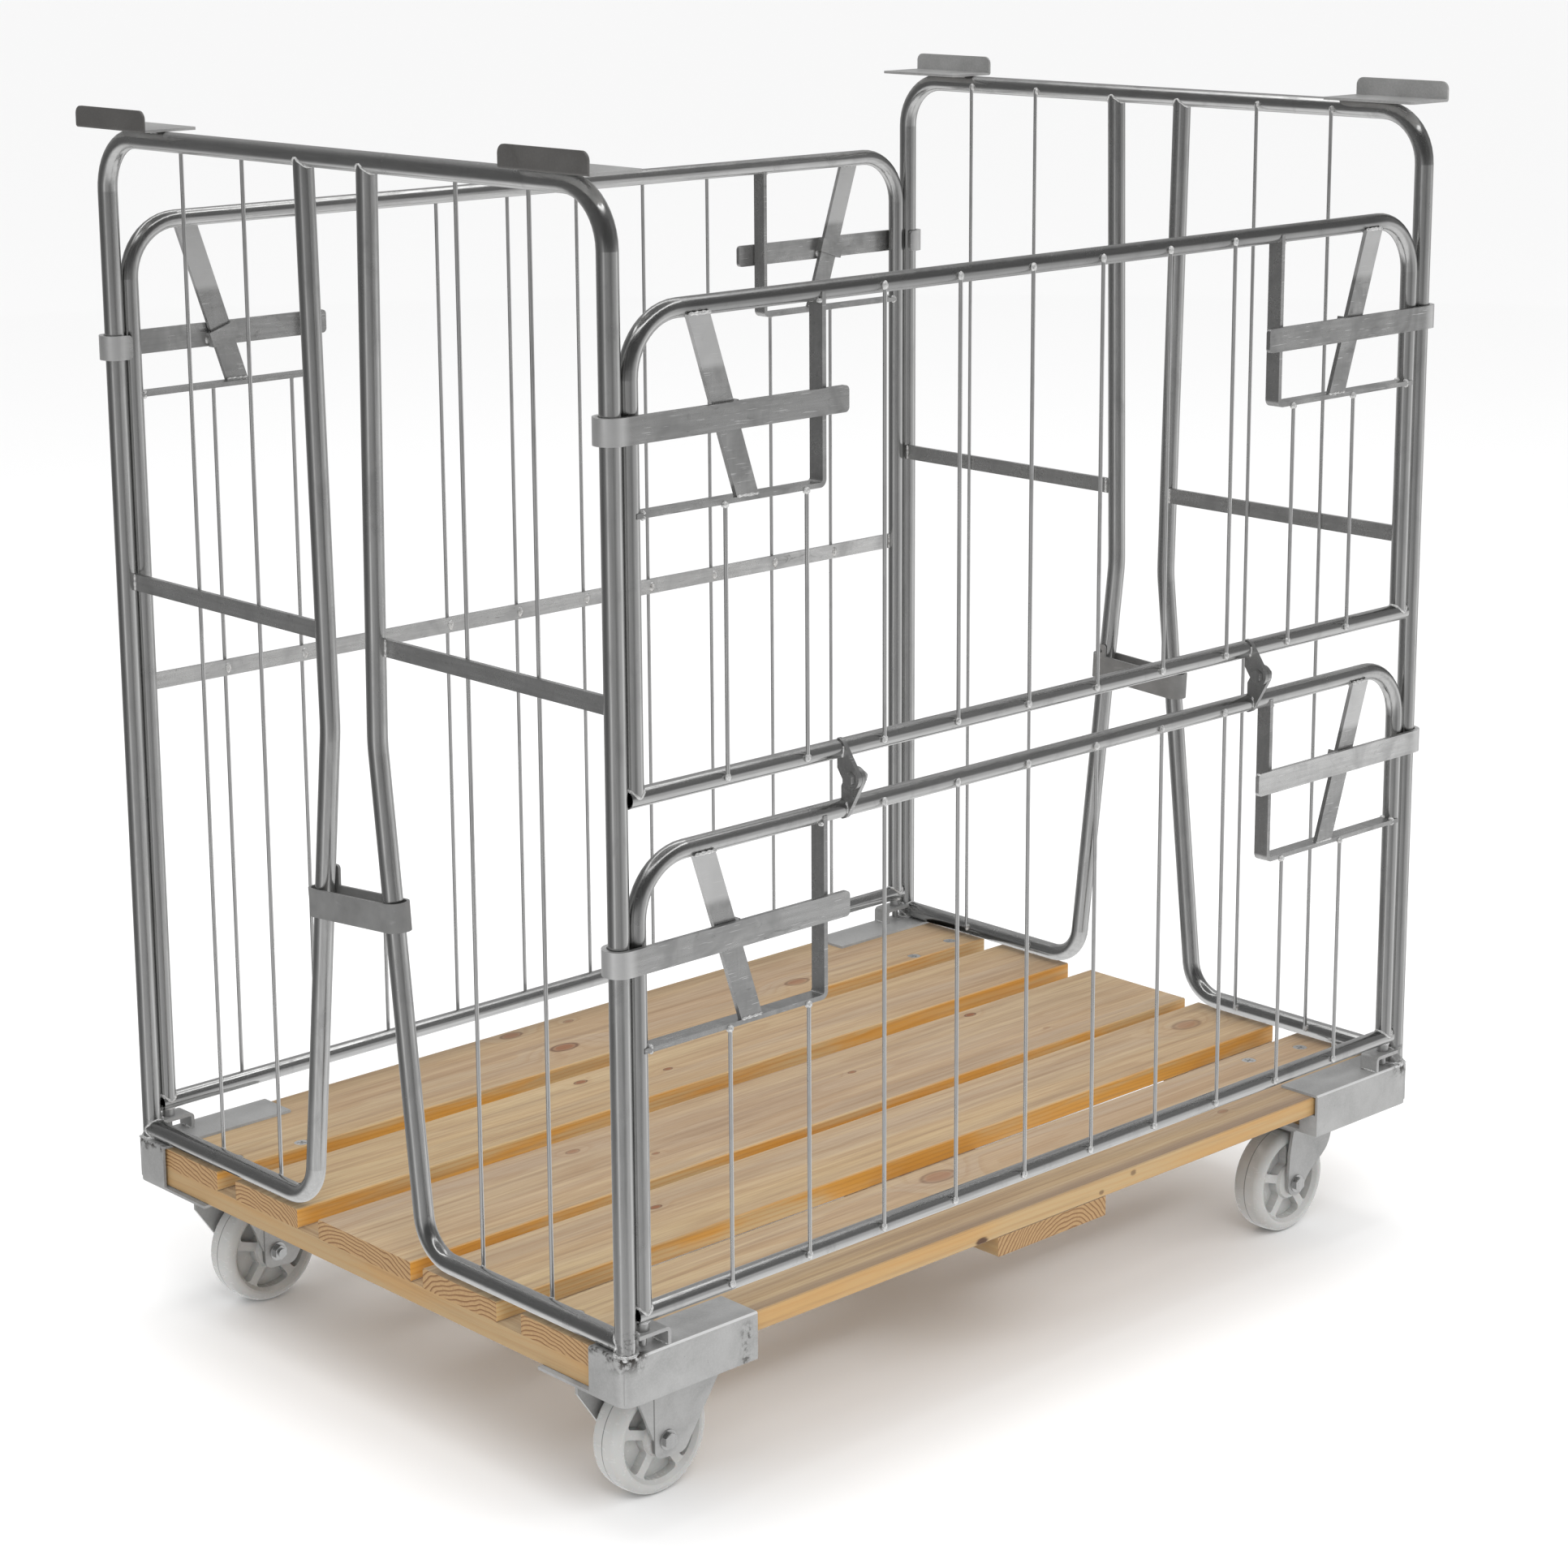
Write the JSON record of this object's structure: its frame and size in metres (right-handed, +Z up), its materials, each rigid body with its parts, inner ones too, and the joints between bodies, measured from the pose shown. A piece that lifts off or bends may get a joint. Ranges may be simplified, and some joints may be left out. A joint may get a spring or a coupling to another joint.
{
  "type": "roll cage container",
  "caption": "Wheeled load cage with a slatted timber deck, tube and wire sides, a rear gate and a front gate that folds in half, held by sliding hook latches.",
  "frame": {"origin": "on the floor under the middle of the timber deck", "axes": "+X along the long side towards the swivel casters, +Y from the folding front gate to the rear gate, +Z up"},
  "size_m": [1.258, 0.8628, 1.347],
  "materials": {
    "zinc_tube": "bright zinc plate",
    "zinc_wire": "bright zinc plate",
    "zinc_flat_bar": "bright zinc plate",
    "galvanised_sheet": "dull galvanised",
    "grey_clamp": "dull galvanised",
    "zinc_fastener": "bright zinc plate",
    "pine": "planed, unpainted",
    "nylon": "moulded"
  },
  "bodies": {
    "base": {"deck_screws": "zinc_fastener", "deck_board_1": "pine", "deck_board_2": "pine", "deck_board_3": "pine", "deck_board_4": "pine", "deck_board_5": "pine", "cross_board_left": "pine", "cross_board_middle": "pine", "cross_board_right": "pine", "corner_sleeve_front_left": "galvanised_sheet", "corner_sleeve_front_right": "galvanised_sheet", "corner_sleeve_rear_left": "galvanised_sheet", "corner_sleeve_rear_right": "galvanised_sheet", "gate_seats": "galvanised_sheet", "outer_loop_left": "zinc_tube", "outer_loop_right": "zinc_tube", "inner_tube_left_front": "zinc_tube", "inner_tube_left_rear": "zinc_tube", "inner_tube_right_front": "zinc_tube", "inner_tube_right_rear": "zinc_tube", "end_wires": "zinc_wire", "end_bars": "zinc_flat_bar", "stacking_angles": "galvanised_sheet", "frame_clamp_left": "grey_clamp", "frame_clamp_right": "grey_clamp", "fixed_forks": "galvanised_sheet", "fixed_axles": "zinc_fastener", "swivel_plates": "galvanised_sheet"},
    "lower_gate": {"lower_gate_rail": "zinc_tube", "lower_gate_hoop": "zinc_tube", "lower_gate_latch_guides": "zinc_flat_bar", "lower_gate_wires": "zinc_wire", "lower_gate_pins": "zinc_tube", "hinge_plates_lower": "zinc_flat_bar", "hinge_bolts": "zinc_fastener"},
    "upper_gate": {"upper_gate_rail": "zinc_tube", "upper_gate_hoop": "zinc_tube", "upper_gate_latch_guides": "zinc_flat_bar", "upper_gate_wires": "zinc_wire", "hinge_plates_upper": "zinc_flat_bar"},
    "rear_gate": {"rear_gate_rail": "zinc_tube", "rear_gate_hoop": "zinc_tube", "rear_gate_latch_guides": "zinc_flat_bar", "rear_gate_wires": "zinc_wire", "rear_gate_mid_bar": "zinc_flat_bar", "rear_gate_pins": "zinc_tube"},
    "lower_latch_left": {"lower_gate_latch_left": "zinc_flat_bar"},
    "lower_latch_right": {"lower_gate_latch_right": "zinc_flat_bar"},
    "upper_latch_left": {"upper_gate_latch_left": "zinc_flat_bar"},
    "upper_latch_right": {"upper_gate_latch_right": "zinc_flat_bar"},
    "rear_latch_left": {"rear_gate_latch_left": "zinc_flat_bar"},
    "rear_latch_right": {"rear_gate_latch_right": "zinc_flat_bar"},
    "swivel_front": {"swivel_fork_front": "galvanised_sheet", "swivel_axle_front": "zinc_fastener"},
    "wheel_swivel_front": {"wheel_swivel_front": "nylon"},
    "wheel_fixed_front": {"wheel_fixed_front": "nylon"},
    "swivel_rear": {"swivel_fork_rear": "galvanised_sheet", "swivel_axle_rear": "zinc_fastener"},
    "wheel_swivel_rear": {"wheel_swivel_rear": "nylon"},
    "wheel_fixed_rear": {"wheel_fixed_rear": "nylon"}
  },
  "joints": [
    {"name": "lower_gate_lift", "type": "slide", "parent": "base", "child": "lower_gate", "axis": [0, 0, 1], "range_m": [0, 0.04]},
    {"name": "upper_gate_fold", "type": "hinge", "parent": "lower_gate", "child": "upper_gate", "pos_m": [0, -0.427, 0.719], "axis": [1, 0, 0], "range_deg": [0, 180]},
    {"name": "rear_gate_lift", "type": "slide", "parent": "base", "child": "rear_gate", "axis": [0, 0, 1], "range_m": [0, 0.04]},
    {"name": "lower_latch_left_slide", "type": "slide", "parent": "lower_gate", "child": "lower_latch_left", "axis": [-0.3173, 0, 0.9483], "range_m": [0, 0.072]},
    {"name": "lower_latch_right_slide", "type": "slide", "parent": "lower_gate", "child": "lower_latch_right", "axis": [0.3173, 0, 0.9483], "range_m": [0, 0.072]},
    {"name": "upper_latch_left_slide", "type": "slide", "parent": "upper_gate", "child": "upper_latch_left", "axis": [-0.3173, 0, 0.9483], "range_m": [0, 0.072]},
    {"name": "upper_latch_right_slide", "type": "slide", "parent": "upper_gate", "child": "upper_latch_right", "axis": [0.3173, 0, 0.9483], "range_m": [0, 0.072]},
    {"name": "rear_latch_left_slide", "type": "slide", "parent": "rear_gate", "child": "rear_latch_left", "axis": [-0.3173, 0, 0.9483], "range_m": [0, 0.072]},
    {"name": "rear_latch_right_slide", "type": "slide", "parent": "rear_gate", "child": "rear_latch_right", "axis": [0.3173, 0, 0.9483], "range_m": [0, 0.072]},
    {"name": "swivel_front_turn", "type": "hinge", "parent": "base", "child": "swivel_front", "pos_m": [0.515, -0.334, 0.132], "axis": [0, 0, 1], "continuous": true},
    {"name": "wheel_swivel_front_spin", "type": "hinge", "parent": "swivel_front", "child": "wheel_swivel_front", "pos_m": [0.481, -0.334, 0.0625], "axis": [0, 1, 0], "continuous": true},
    {"name": "wheel_fixed_front_spin", "type": "hinge", "parent": "base", "child": "wheel_fixed_front", "pos_m": [-0.508, -0.334, 0.0625], "axis": [0, 1, 0], "continuous": true},
    {"name": "swivel_rear_turn", "type": "hinge", "parent": "base", "child": "swivel_rear", "pos_m": [0.515, 0.334, 0.132], "axis": [0, 0, 1], "continuous": true},
    {"name": "wheel_swivel_rear_spin", "type": "hinge", "parent": "swivel_rear", "child": "wheel_swivel_rear", "pos_m": [0.481, 0.334, 0.0625], "axis": [0, 1, 0], "continuous": true},
    {"name": "wheel_fixed_rear_spin", "type": "hinge", "parent": "base", "child": "wheel_fixed_rear", "pos_m": [-0.508, 0.334, 0.0625], "axis": [0, 1, 0], "continuous": true}
  ]
}
